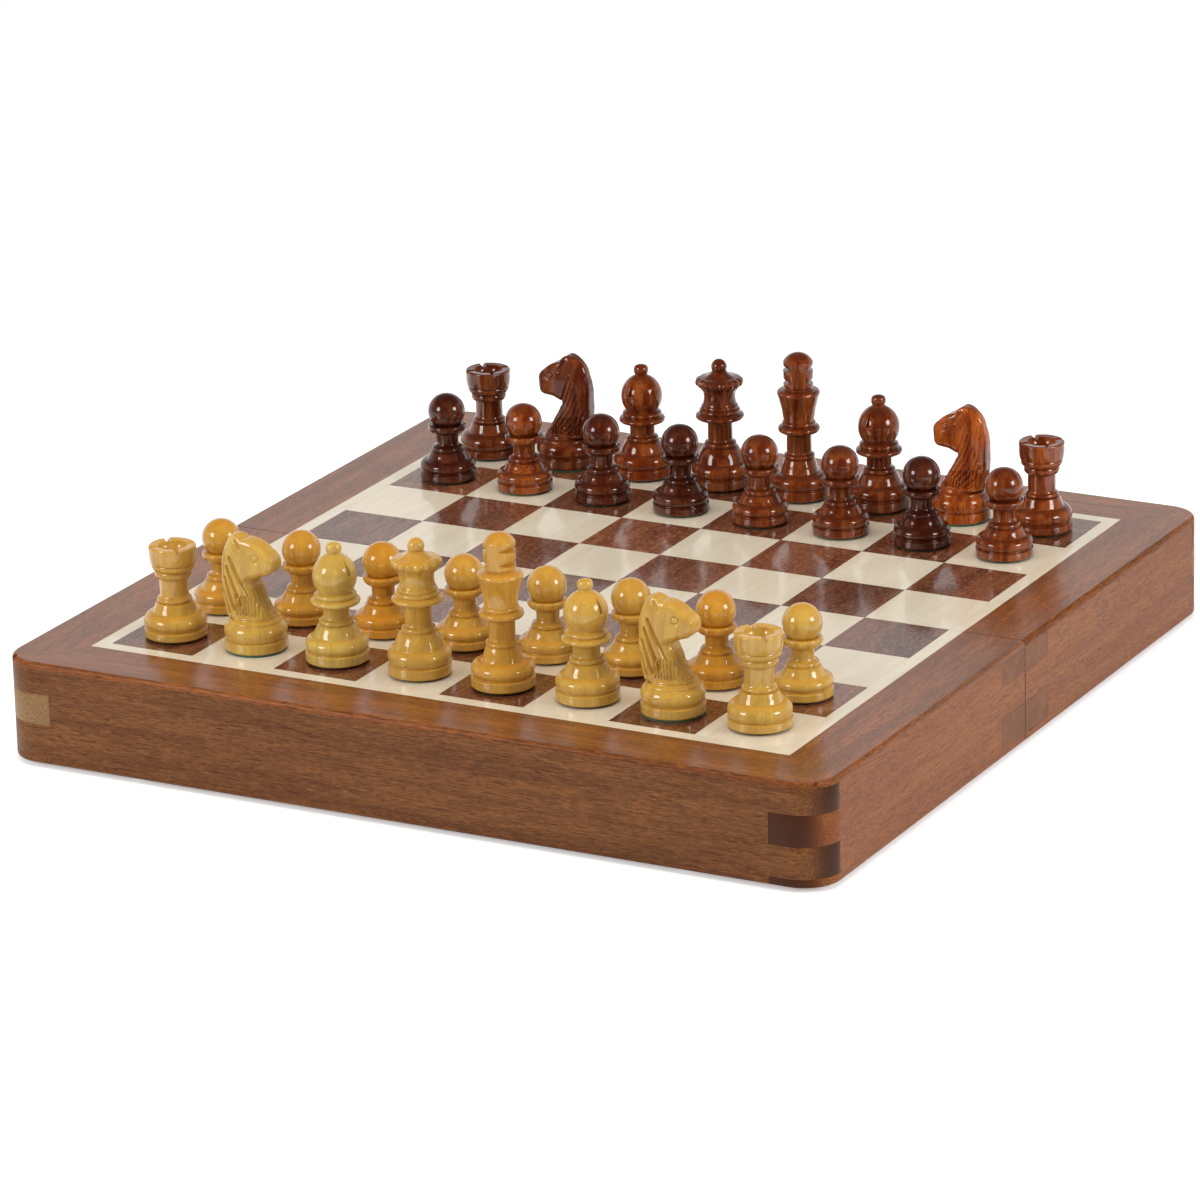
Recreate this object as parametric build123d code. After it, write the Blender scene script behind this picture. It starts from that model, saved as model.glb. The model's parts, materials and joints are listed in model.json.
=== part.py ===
from build123d import *
from math import atan2, cos, sin, sqrt
import os

# Folding magnetic chess box: two shallow half boxes hinged together along the fold. Open, their backs
# make one playing board; folded, their rims meet and they make a closed case for the 32 men.
#
# Frame, millimetres: X along the files from a to h, Y along the ranks from the light side to the dark
# side, Z up. The origin is under the middle of the fold, at the foot of the hinge barrels, which are
# the lowest points of the open board.

# ---------------------------------------------------------------- playing surface
files = 8
square = 26.0
inlay_width = 4.3
border_width = 18.7
top_thickness = 1.6
steel_thickness = 0.5
fold_gap = 0.3
arris_radius = 1.2

# ---------------------------------------------------------------- half boxes
half_height = 29.5
side_wall = 16.0
end_wall = 10.0
fold_wall = 15.0
finger_height = 9.0
corner_radius = 10.4
rim_round = 0.8
deck_thickness = 4.0
deck_rebate = 5.0
deck_clearance = 0.1

# ---------------------------------------------------------------- hinges
hinge_length = 26.0
hinge_offset = 70.0
leaf_width = 11.0
leaf_thickness = 0.8
barrel_radius = 1.15
pin_radius = 0.5
pin_grip = 0.02
pin_clearance = 0.05
knuckles = 5
knuckle_gap = 0.15
barrel_clearance = 0.3
closed_gap = 0.1
screw_spacing = 16.0
screw_head_radius = 1.6
screw_radius = 0.75
screw_length = 7.0
screw_recess = 0.05
screw_clearance = 0.05
screw_slot = 0.4

# ---------------------------------------------------------------- closing magnets
closer_radius = 3.0
closer_thickness = 2.5
closer_offset = 85.0
closer_recess = 0.15
glue_gap = 0.05

# ---------------------------------------------------------------- storage tray
tray_base = 1.5
tray_depth = 16.0
slot_clearance = 1.1
slot_end_clearance = 3.7

# ---------------------------------------------------------------- chessmen
officer_base = 17.7
pawn_base = 16.6
felt_thickness = 0.6
felt_margin = 0.4
base_magnet_radius = 4.0
base_magnet_thickness = 3.0
king_height = 44.2
queen_height = 39.1
bishop_height = 34.4
knight_height = 34.6
rook_height = 26.8
pawn_height = 26.4
foot_height = 2.9
low_foot_height = 2.3
groove_height = 0.5
groove_depth = 0.5
bulge_rise = 1.3
ring_height = 1.3
neck_radius = 3.7
rook_neck_radius = 4.05
pawn_neck_radius = 3.2
king_cup_radius = 6.2
king_cup_height = 22.0
queen_crown_radius = 6.9
queen_cup_height = 16.2
bishop_head_radius = 5.8
bishop_head_height = 14.3
bishop_knob_radius = 2.2
rook_crown_radius = 6.65
rook_crown_height = 5.0
rook_well_radius = 4.7
rook_well_depth = 3.2
rook_notch_width = 1.2
rook_notch_depth = 1.5
pawn_ball_radius = 5.5
pawn_collar_height = 12.1
queen_ball_radius = 2.35
mitre_slit_width = 0.9
mitre_slit_depth = 2.6
mitre_slit_length = 5.0
finial_notch = 2.0
finial_notch_gap = 4.0
knight_seat = 10.2
mane_grooves = 3
mane_groove_width = 1.0
mane_groove_depth = 0.7
mane_groove_length = 14.0
knight_neck_width = 10.4
knight_crest_width = 5.4
eye_radius = 1.0

# ---------------------------------------------------------------- worked out from the sizes above
board = files * square + 2 * (inlay_width + border_width)
half_board = board / 2
play_edge = files * square / 2
inlay_edge = play_edge + inlay_width
fold_face = fold_gap / 2
fold_inner = fold_face + fold_wall
axis_z = barrel_radius
rim_z = axis_z + closed_gap / 2
top_z = rim_z + half_height
wall_top = top_z - top_thickness
deck_bottom = wall_top - deck_thickness
steel_top = wall_top + steel_thickness
tray_top = deck_bottom
slot_roof = tray_top - tray_base
tray_foot = slot_roof - tray_depth
inside_x = half_board - side_wall
inside_y = half_board - end_wall
slot_pitch = 2 * inside_x / files
slot_width = officer_base + 2 * slot_clearance
officer_slot = king_height + slot_end_clearance
pawn_slot = pawn_height + slot_end_clearance
cross_strip = (inside_y - fold_inner - officer_slot - pawn_slot) / 3
knuckle_length = (hinge_length - (knuckles - 1) * knuckle_gap) / knuckles
leaf_top = rim_z + leaf_thickness
screw_y = (leaf_width + barrel_radius) / 2


# ---------------------------------------------------------------- helpers
def slab(x0, x1, y0, y1, z0, z1):
    """Box between two corners, given in any order."""
    size = (abs(x1 - x0), abs(y1 - y0), abs(z1 - z0))
    return Pos((x0 + x1) / 2, (y0 + y1) / 2, (z0 + z1) / 2) * Box(*size)


def disc(x, y, z0, z1, radius):
    """Upright cylinder from z0 to z1."""
    return Pos(x, y, (z0 + z1) / 2) * Cylinder(radius, abs(z1 - z0))


def prism(corners, z0, z1):
    """Upright prism on a list of corners."""
    return extrude(Pos(0, 0, z0) * make_face(Polyline(*corners, close=True)), z1 - z0)


def turned(steps):
    """Solid of revolution about Z. A step is a point (r, z), or (point on an arc, the arc's end)."""
    here = steps[0]
    edges = []
    for step in steps[1:]:
        if isinstance(step[0], tuple):
            edges.append(ThreePointArc(here, step[0], step[1]))
            here = step[1]
        else:
            edges.append(Line(here, step))
            here = step
    edges.append(Line(here, steps[0]))
    return revolve(Plane.XZ * make_face(edges), Axis.Z)


def pieces(solids):
    """Group of separate solids for one node."""
    return Compound(children=[part.solid() for part in solids])


def save(name, shape):
    export_step(shape, f"parts/{name}.step")


# ---------------------------------------------------------------- the half boxes
def half_outline(side):
    """Plan of one half: square at the fold, rounded at the two outer corners."""
    middle = side * (fold_face + half_board) / 2
    plan = Pos(0, middle) * Rectangle(board, half_board - fold_face)
    outer = [corner for corner in plan.vertices() if abs(corner.Y) > half_board / 2]
    return fillet(outer, corner_radius)


def half_prism(side, z0, z1):
    return extrude(Pos(0, 0, z0) * half_outline(side), z1 - z0)


def outer_edges(shape, z):
    """Edges round the outside of a half at height z, without the edge along the fold."""
    level = shape.edges().filter_by_position(Axis.Z, z - 0.01, z + 0.01)
    return [edge for edge in level if abs(edge.center().Y) > fold_gap]


def deck_box(side, clearance):
    x = inside_x + deck_rebate - clearance
    near = side * (fold_inner - deck_rebate + clearance)
    far = side * (inside_y + deck_rebate - clearance)
    return slab(-x, x, near, far, deck_bottom, wall_top)


def side_finger_layers():
    """Heights at which the side walls' fingers reach the outside of the corners."""
    layers = []
    high = top_z - finger_height
    while high > rim_z:
        low = max(high - finger_height, rim_z)
        layers.append((low, high))
        high -= 2 * finger_height
    return layers


def corner_blocks(side, sign, y0, y1):
    """The part of one corner that belongs to the side wall."""
    return [slab(sign * inside_x, sign * half_board, side * y0, side * y1, low, high)
            for low, high in side_finger_layers()]


def hinge_mortises(side):
    """Recesses in the fold wall's rim for the leaves, and room beside them for the barrels."""
    cuts = []
    for x in (-hinge_offset, hinge_offset):
        x0 = x - hinge_length / 2 - glue_gap
        x1 = x + hinge_length / 2 + glue_gap
        cuts.append(slab(x0, x1, 0, side * (leaf_width + glue_gap), rim_z - 1, leaf_top))
        room = barrel_radius + barrel_clearance
        cuts.append(slab(x0, x1, 0, side * room, rim_z - 1, axis_z + room))
        for dx in (-screw_spacing / 2, screw_spacing / 2):
            top = rim_z + screw_recess + screw_length + screw_clearance
            cuts.append(disc(x + dx, side * screw_y, rim_z, top, screw_radius + screw_clearance))
    return cuts


def closer_pockets(side):
    y = side * (half_board - end_wall / 2)
    top = rim_z + closer_recess + closer_thickness
    return [disc(x, y, rim_z - 1, top, closer_radius + glue_gap) for x in (-closer_offset, closer_offset)]


def make_walls(side):
    """Outer wall, fold wall, left wall and right wall of one half, finger jointed at the corners."""
    ring = half_prism(side, rim_z, wall_top)
    ring = fillet(outer_edges(ring, rim_z), rim_round)
    ring -= slab(-inside_x, inside_x, side * fold_inner, side * inside_y, rim_z - 1, wall_top + 1)
    ring -= deck_box(side, 0)
    outer = slab(-half_board, half_board, side * inside_y, side * half_board, rim_z, wall_top)
    fold = slab(-half_board, half_board, side * fold_face, side * fold_inner, rim_z, wall_top)
    sides = {}
    for sign in (-1, 1):
        block = slab(sign * inside_x, sign * half_board, side * fold_inner, side * inside_y, rim_z, wall_top)
        for corner in corner_blocks(side, sign, inside_y, half_board):
            outer -= corner
            block += corner
        for corner in corner_blocks(side, sign, fold_face, fold_inner):
            fold -= corner
            block += corner
        sides[sign] = ring & block
    outer = (ring & outer) - closer_pockets(side)
    fold = (ring & fold) - hinge_mortises(side)
    return outer, fold, sides[-1], sides[1]


def make_deck(side):
    return deck_box(side, deck_clearance)


def make_steel_sheet(side):
    return slab(-inlay_edge, inlay_edge, side * fold_face, side * inlay_edge, wall_top, steel_top)


def make_squares(side, light):
    """The 16 light or 16 dark squares of one half. Square a1 is dark."""
    tiles = []
    for column in range(files):
        for row in range(files // 2):
            rank = files // 2 + row if side > 0 else files // 2 - 1 - row
            if ((column + rank) % 2 == 1) != light:
                continue
            x0 = column * square - play_edge
            y0 = max(row * square, fold_face)
            tiles.append(slab(x0, x0 + square, side * y0, side * (row + 1) * square, steel_top, top_z))
    return pieces(tiles)


def mitred_strips(side, inner, outer, z0, z1):
    """Two side strips and an outer strip round the playing area, mitred where they meet."""
    strips = []
    for sign in (-1, 1):
        strips.append([(sign * inner, side * fold_face), (sign * outer, side * fold_face),
                       (sign * outer, side * outer), (sign * inner, side * inner)])
    strips.append([(-inner, side * inner), (inner, side * inner),
                   (outer, side * outer), (-outer, side * outer)])
    return [prism(corners, z0, z1) for corners in strips]


def make_inlay(side):
    return pieces(mitred_strips(side, play_edge, inlay_edge, steel_top, top_z))


def make_border(side):
    plate = half_prism(side, wall_top, top_z)
    plate = fillet(outer_edges(plate, top_z), arris_radius)
    strips = mitred_strips(side, inlay_edge, half_board, wall_top, top_z)
    return pieces([plate & strip for strip in strips])


def make_tray(side):
    """Padded floor under the deck, with strips that part it into a slot for each man."""
    solids = [slab(-inside_x, inside_x, side * fold_inner, side * inside_y, slot_roof, tray_top)]
    rows = []
    y = inside_y
    for length in (officer_slot, pawn_slot):
        solids.append(slab(-inside_x, inside_x, side * y, side * (y - cross_strip), tray_foot, slot_roof))
        y -= cross_strip
        rows.append((y - length, y))
        y -= length
    solids.append(slab(-inside_x, inside_x, side * y, side * fold_inner, tray_foot, slot_roof))
    for y0, y1 in rows:
        for column in range(files + 1):
            middle = column * slot_pitch - inside_x
            x0 = max(middle - (slot_pitch - slot_width) / 2, -inside_x)
            x1 = min(middle + (slot_pitch - slot_width) / 2, inside_x)
            solids.append(slab(x0, x1, side * y0, side * y1, tray_foot, slot_roof))
    return pieces(solids)


def make_closers(side):
    y = side * (half_board - end_wall / 2)
    low = rim_z + closer_recess
    places = (-closer_offset, closer_offset)
    return pieces([disc(x, y, low, low + closer_thickness, closer_radius) for x in places])


# ---------------------------------------------------------------- hinges
def barrel(x0, x1, radius):
    """Cylinder along the hinge axis."""
    return Pos((x0 + x1) / 2, 0, axis_z) * Rot(0, 90, 0) * Cylinder(radius, x1 - x0)


def make_leaf(side, x, own, bore):
    """One hinge leaf: plate let into the rim, with every second knuckle, own being 0 or 1."""
    start = x - hinge_length / 2
    edge = barrel_radius + knuckle_gap
    leaf = slab(start, start + hinge_length, side * edge, side * leaf_width, rim_z, leaf_top)
    for index in range(own, knuckles, 2):
        x0 = start + index * (knuckle_length + knuckle_gap)
        leaf += slab(x0, x0 + knuckle_length, 0, side * edge, rim_z, leaf_top)
        leaf += barrel(x0, x0 + knuckle_length, barrel_radius)
    leaf -= barrel(start - 1, start + hinge_length + 1, bore)
    for dx in (-screw_spacing / 2, screw_spacing / 2):
        leaf -= disc(x + dx, side * screw_y, rim_z - 1, leaf_top + 1, screw_radius + screw_clearance)
        sink = Cone(screw_head_radius + screw_clearance, screw_radius + screw_clearance, leaf_thickness)
        leaf -= Pos(x + dx, side * screw_y, rim_z + leaf_thickness / 2) * sink
    return leaf


def make_pin(x):
    return barrel(x - hinge_length / 2, x + hinge_length / 2, pin_radius)


def make_screws(side):
    """Countersunk screws, heads down in the leaves and shanks up in the fold wall."""
    screws = []
    low = rim_z + screw_recess
    head = leaf_thickness - screw_recess
    for x in (-hinge_offset, hinge_offset):
        for dx in (-screw_spacing / 2, screw_spacing / 2):
            here = Pos(x + dx, side * screw_y, 0)
            screw = Pos(0, 0, low + head / 2) * Cone(screw_head_radius, screw_radius, head)
            screw += disc(0, 0, low + head, low + screw_length, screw_radius)
            slot = screw_slot / 2
            screw -= slab(-screw_head_radius, screw_head_radius, -slot, slot, low, low + head / 2)
            screws.append(here * screw)
    return pieces(screws)


# ---------------------------------------------------------------- chessmen, each made standing on z = 0
def turned_base(base, foot, shoulder):
    """First steps of every man's outline: foot disc, groove and bulge, up to its shoulder."""
    radius = base / 2
    soft = foot_height / 6
    foot_top = felt_thickness + foot
    groove = foot_top + groove_height / 2
    return [(0, felt_thickness), (radius - soft, felt_thickness), (radius, felt_thickness + soft),
            (radius, foot_top - soft), (radius - soft / 2, foot_top),
            (radius - groove_depth, groove), (radius - groove_depth, groove + groove_height / 2),
            ((radius - soft / 8, groove + bulge_rise), shoulder)]


def bead(radius, z0, z1):
    """A rounded ring on the outline, from height z0 to z1."""
    return ((radius, (z0 + z1) / 2), (radius - (z1 - z0) / 3, z1))


def dome(start, top):
    """Arc from a point of the outline to the axis, which it meets squarely at height top."""
    r, z = start
    radius = (r ** 2 + (top - z) ** 2) / (2 * (top - z))
    middle = top - radius
    half = atan2(r, z - middle) / 2
    return ((radius * sin(half), middle + radius * cos(half)), (0, top))


def ball_foot(ball, top):
    """Where the outline meets the underside of a ball that reaches height top."""
    narrow = 0.7
    return (narrow * ball, top - ball * (1 + sqrt(1 - narrow ** 2)))


def raised(height, steps):
    """Steps whose heights are counted from the man's top, put in place."""
    placed = []
    for step in steps:
        if isinstance(step[0], tuple):
            placed.append(tuple((r, z + height) for r, z in step))
        else:
            placed.append((step[0], step[1] + height))
    return placed


def with_magnet(body, base):
    """Adds the weight magnet in its bore and the felt disc under it."""
    top = felt_thickness + base_magnet_thickness
    body -= disc(0, 0, 0, top, base_magnet_radius + glue_gap)
    magnet = disc(0, 0, felt_thickness, top, base_magnet_radius)
    felt = disc(0, 0, 0, felt_thickness, base / 2 - felt_margin)
    return [body, magnet, felt]


def make_king():
    r = neck_radius
    cup = king_cup_radius
    foot = -king_cup_height
    base = turned_base(officer_base, foot_height, (r + 2.9, 7.8)) + [
        (r + 1.9, 8.0), ((r + 1.5, 9.7), (r + 0.8, 11.9)), bead(r + 0.9, 12.1, 12.1 + ring_height),
        (r, 14.5)]
    head = [
        (r, foot - 3.0), (cup - 0.9, foot - 2.1), ((cup, foot - 1.2), (cup - 0.7, foot - 0.2)),
        (r + 1.1, foot), bead(r + 1.3, foot, foot + ring_height), (r + 0.8, foot + ring_height),
        ((cup - 0.9, foot + 5.0), (cup, foot + 8.0)), ((cup - 0.1, foot + 8.8), (cup - 0.6, foot + 9.1)),
        (cup - 1.0, foot + 9.0), (r - 0.3, -11.2), (r - 0.4, -9.8), (r + 0.5, -8.8), (r + 0.6, -5.7),
        (r + 0.3, -5.2), (r + 0.5, -4.5), dome((r + 0.5, -4.5), 0)]
    body = turned(base + raised(king_height, head))
    for sign in (-1, 1):
        for step in (1, 2):
            notch = Box(finial_notch, 2 * cup, finial_notch)
            place = Pos(sign * (r + 0.4), 0, king_height - 1.2 - step * finial_notch_gap)
            body -= place * Rot(0, 45, 0) * notch
    return body


def make_queen():
    r = neck_radius
    crown = queen_crown_radius
    ball = queen_ball_radius
    foot = -queen_cup_height
    under = ball_foot(ball, 0)
    base = turned_base(officer_base, foot_height, (r + 3.8, 7.9)) + [
        (r + 3.3, 8.2), ((r + 2.8, 10.0), (r + 1.5, 12.4)), bead(r + 1.1, 12.6, 12.6 + ring_height),
        (r, 15.0)]
    head = [
        (r, foot - 3.2), (crown - 0.2, foot - 1.8), ((crown + 0.3, foot - 1.1), (crown - 0.3, foot - 0.4)),
        (crown - 1.0, foot), bead(crown - 0.8, foot, foot + ring_height), (crown - 1.5, foot + ring_height),
        bead(crown - 1.4, foot + ring_height, foot + 2 * ring_height),
        ((r + 1.0, foot + 4.8), (r + 1.1, foot + 7.0)), (crown - 0.5, -7.4),
        ((crown, -6.7), (crown - 0.5, -6.1)), ((crown - 2.6, -5.3), (ball, under[1] - 0.1)), under, dome(under, 0)]
    return turned(base + raised(queen_height, head))


def make_bishop():
    r = neck_radius
    head_r = bishop_head_radius
    knob = bishop_knob_radius
    foot = -bishop_head_height
    base = turned_base(officer_base, foot_height, (r + 3.3, 7.7)) + [
        (r + 2.7, 8.0), ((r + 2.2, 9.4), (r + 1.3, 11.0)), bead(r + 1.1, 11.1, 11.1 + ring_height),
        (r, 13.4)]
    head = [
        (r, foot - 4.3), (head_r + 0.2, foot - 3.2), ((head_r + 0.7, foot - 2.5), (head_r, foot - 1.7)),
        (head_r - 0.6, foot - 1.4), bead(head_r - 0.3, foot - 1.4, foot), (head_r - 1.4, foot + 0.5),
        ((head_r, foot + 5.1), (knob - 0.1, -3.4)), (knob - 0.4, -3.0), ((knob, -1.6), (knob - 0.4, -0.5)),
        dome((knob - 0.4, -0.5), 0)]
    body = turned(base + raised(bishop_height, head))
    slit = Pos(head_r - mitre_slit_depth / 2, 0, bishop_height - 6.4) * Rot(0, 25, 0)
    return body - slit * Box(2 * mitre_slit_depth, mitre_slit_width, mitre_slit_length)


def make_rook():
    r = rook_neck_radius
    crown = rook_crown_radius
    well = rook_well_radius
    foot = -rook_crown_height
    base = turned_base(officer_base, low_foot_height, (r + 2.7, 7.5)) + [
        (r + 2.1, 7.7), ((r + 1.7, 9.0), (r + 1.2, 10.3)), bead(r + 0.8, 10.5, 10.5 + ring_height),
        (r, 12.8)]
    head = [
        (r, foot - 4.6), ((r + 1.1, foot - 3.6), (r + 0.8, foot - 2.2)), (r + 1.2, foot - 2.1),
        ((r + 2.0, foot - 1.2), (r + 1.8, foot)), (crown - 0.3, foot + 0.1),
        ((crown - 0.1, foot + 1.2), (crown, foot + 2.4)), (crown, -0.5), (crown - 0.4, 0), (well, 0),
        ((0.7 * well, -0.7 * rook_well_depth), (0.2 * well, -rook_well_depth)), (0, -rook_well_depth)]
    body = turned(base + raised(rook_height, head))
    for turn in (45, 135):
        cut = Box(4 * crown, rook_notch_width, 2 * rook_notch_depth)
        body -= Pos(0, 0, rook_height) * Rot(0, 0, turn) * cut
    return body


def make_pawn():
    r = pawn_neck_radius
    ball = pawn_ball_radius
    collar = -pawn_collar_height
    under = ball_foot(ball, 0)
    base = turned_base(pawn_base, low_foot_height, (r + 3.2, 6.4)) + [
        (r + 2.8, 6.6), ((r + 2.3, 7.8), (r + 1.7, 8.9)), bead(r + 1.4, 9.0, 9.0 + ring_height),
        (r + 0.3, 10.6), (r, 11.8)]
    head = [
        (r + 0.1, collar), ((r + 1.2, collar + 0.7), (ball, collar + 1.8)),
        ((ball + 0.1, collar + 2.3), (ball - 0.5, under[1])), under, dome(under, 0)]
    return turned(base + raised(pawn_height, head))


def knight_profile(seat, top):
    """Side view of the horse's head: chest, jaw, muzzle, brow, ear and mane."""
    chest = (5.2, seat)
    throat = (-2.2, top - 14.3)
    jaw = (1.6, top - 12.5)
    chin = (6.0, top - 11.7)
    nose = (6.8, top - 5.4)
    brow = (3.6, top - 4.5)
    ear_front = (-1.6, top - 1.8)
    ear_tip = (-4.2, top)
    ear_back = (-6.0, top - 1.0)
    nape = (-7.6, seat)
    return make_face([
        Line(nape, chest), ThreePointArc(chest, (2.6, top - 20.6), throat), Line(throat, jaw),
        Line(jaw, chin),
        ThreePointArc(chin, (7.3, top - 8.6), nose), Line(nose, brow), Line(brow, ear_front),
        Line(ear_front, ear_tip), Line(ear_tip, ear_back),
        Spline(ear_back, (-8.7, top - 5.2), (-10.2, top - 11.0), (-9.4, seat + 5.2), nape)])


def make_knight():
    """Turned base carrying a carved horse's head that faces +X."""
    sunk = knight_seat - 0.1
    top = knight_height
    base = turned_base(officer_base, foot_height, (7.4, 8.4)) + [
        ((7.2, 9.0), (6.4, 9.4)), (6.2, knight_seat), (0, knight_seat)]
    wide = knight_neck_width / 2
    thin = knight_crest_width / 2
    head = extrude(Plane.XZ * knight_profile(sunk, top), wide, both=True)
    front = Polyline((-wide + 0.6, sunk), (wide - 0.6, sunk), (wide, sunk + 4), (thin + 1.0, top - 7.6),
                     (thin, top + 0.1), (-thin, top + 0.1), (-thin - 1.0, top - 7.6), (-wide, sunk + 4),
                     close=True)
    head &= extrude(Plane.YZ * make_face(front), officer_base, both=True)
    for sign in (-1, 1):
        for index in range(mane_grooves):
            length = mane_groove_length - 1.5 * index
            groove = Box(mane_groove_width, 2 * mane_groove_depth, length)
            place = Pos(-7.4 + 2.2 * index, sign * (wide - 1.2 + 0.2 * index), top - 14.0 - 1.6 * index)
            head -= place * Rot(sign * 9, 0, 0) * Rot(0, -20, 0) * groove
        head += Pos(1.9, sign * (thin + 0.7), top - 6.3) * Sphere(eye_radius)
    return turned(base) + head


makers = {
    "king": (make_king, officer_base),
    "queen": (make_queen, officer_base),
    "bishop": (make_bishop, officer_base),
    "knight": (make_knight, officer_base),
    "rook": (make_rook, officer_base),
    "pawn": (make_pawn, pawn_base),
}
back_rank = ["rook", "knight", "bishop", "queen", "king", "bishop", "knight", "rook"]


def main():
    os.makedirs("parts", exist_ok=True)
    for half, side in (("near", -1), ("far", 1)):
        outer, fold, left, right = make_walls(side)
        save(f"{half}_outer_wall", outer)
        save(f"{half}_fold_wall", fold)
        save(f"{half}_left_wall", left)
        save(f"{half}_right_wall", right)
        save(f"{half}_deck", make_deck(side))
        save(f"{half}_steel_sheet", make_steel_sheet(side))
        save(f"{half}_light_squares", make_squares(side, True))
        save(f"{half}_dark_squares", make_squares(side, False))
        save(f"{half}_inlay_lines", make_inlay(side))
        save(f"{half}_border_strips", make_border(side))
        save(f"{half}_storage_tray", make_tray(side))
        save(f"{half}_closing_magnets", make_closers(side))
        save(f"{half}_hinge_screws", make_screws(side))
        leaves = []
        for x in (-hinge_offset, hinge_offset):
            if side < 0:
                leaves += [make_leaf(side, x, 0, pin_radius + pin_grip), make_pin(x)]
            else:
                leaves.append(make_leaf(side, x, 1, pin_radius + pin_clearance))
        save(f"{half}_hinge_leaves", pieces(leaves))

    men = {kind: with_magnet(make(), base) for kind, (make, base) in makers.items()}
    for colour, side, turn in (("light", -1, 0), ("dark", 1, 180)):
        for column in range(files):
            x = (column + 0.5) * square - play_edge
            for kind, row in ((back_rank[column], 3.5), ("pawn", 2.5)):
                place = Pos(x, side * row * square, top_z) * Rot(0, 0, turn)
                file_letter = "abcdefgh"[column]
                rank = 4.5 + side * row
                name = f"{colour}_{kind}_{file_letter}{rank:.0f}"
                save(name, pieces([place * solid for solid in men[kind]]))


main()
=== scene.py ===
import json
import math

import bpy
import numpy as np
from bpy.props import FloatProperty, FloatVectorProperty, IntProperty, PointerProperty
from mathutils import Matrix, Vector

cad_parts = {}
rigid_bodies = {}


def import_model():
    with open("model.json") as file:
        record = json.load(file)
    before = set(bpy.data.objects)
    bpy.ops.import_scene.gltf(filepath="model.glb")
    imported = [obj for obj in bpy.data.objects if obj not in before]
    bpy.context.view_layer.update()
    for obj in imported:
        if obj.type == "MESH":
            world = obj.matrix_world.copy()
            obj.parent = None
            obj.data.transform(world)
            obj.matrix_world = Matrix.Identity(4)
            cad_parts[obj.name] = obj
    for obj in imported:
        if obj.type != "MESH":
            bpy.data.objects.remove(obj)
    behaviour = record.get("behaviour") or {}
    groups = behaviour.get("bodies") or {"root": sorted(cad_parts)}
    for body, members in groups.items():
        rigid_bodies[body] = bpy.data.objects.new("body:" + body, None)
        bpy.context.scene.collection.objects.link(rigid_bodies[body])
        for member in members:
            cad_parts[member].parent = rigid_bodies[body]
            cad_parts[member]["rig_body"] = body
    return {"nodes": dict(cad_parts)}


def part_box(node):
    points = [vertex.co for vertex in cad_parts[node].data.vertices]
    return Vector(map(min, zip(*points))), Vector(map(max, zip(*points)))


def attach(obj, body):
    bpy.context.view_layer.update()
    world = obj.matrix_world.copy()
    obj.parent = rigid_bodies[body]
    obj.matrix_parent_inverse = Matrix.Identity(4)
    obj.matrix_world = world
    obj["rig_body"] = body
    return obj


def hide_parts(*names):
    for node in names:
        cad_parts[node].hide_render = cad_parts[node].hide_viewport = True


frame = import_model()

bl_info = {
    "name": "Folding chess box",
    "version": (1, 0, 0),
    "blender": (4, 5, 0),
    "location": "3D View > Sidebar > Chess box",
    "description": "Wood, lacquer, felt and brass for a folding chess box, with its 32 turned men",
    "category": "Object",
}

MM = 0.001
X, Y, Z = range(3)
WELD = 0.002 * MM
FILES = "abcdefgh"
HALVES = ("near", "far")

# The board as the frame gives it: one square, the left edge of file a, and the playing surface.
PLAY_LOW, PLAY_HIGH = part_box("near_light_squares")
SQUARE = (PLAY_HIGH.x - PLAY_LOW.x) / len(FILES)
PLAY_EDGE = PLAY_LOW.x
BOARD_TOP = PLAY_HIGH.z

# Each row of men: its rank, and how warm each man's wood is, file a to h. 0 is the palest or darkest billet,
# 1 the most orange or red.
ROWS = {
    ("light", "officer"): (1, (0.5, 0.32, 0.1, 0.45, 0.68, 0.38, 0.4, 0.35)),
    ("light", "pawn"): (2, (0.7, 0.72, 0.92, 0.6, 0.5, 0.55, 0.85, 0.35)),
    ("dark", "pawn"): (7, (0.1, 0.65, 0.18, 0.1, 0.5, 0.42, 0.08, 0.52)),
    ("dark", "officer"): (8, (0.3, 0.38, 0.65, 0.42, 0.52, 0.4, 1.2, 0.6)),
}

# Turned outlines of the men, in millimetres.
OFFICER_RADIUS = 8.85
PAWN_RADIUS = 8.3
FELT = 0.6
NECK = 3.7
RING = 1.3


# ---------------- settings
def a_colour(name, description, default):
    return FloatVectorProperty(
        name=name, description=description, default=default, subtype="COLOR", size=3, min=0.0, max=1.0)


def a_length(name, description, default):
    return FloatProperty(name=name, description=description, default=default, min=0.0, unit="LENGTH")


def an_angle(name, description, degrees):
    return FloatProperty(name=name, description=description, default=math.radians(degrees), subtype="ANGLE")


def a_number(name, description, default):
    return FloatProperty(name=name, description=description, default=default, min=0.0)


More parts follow.
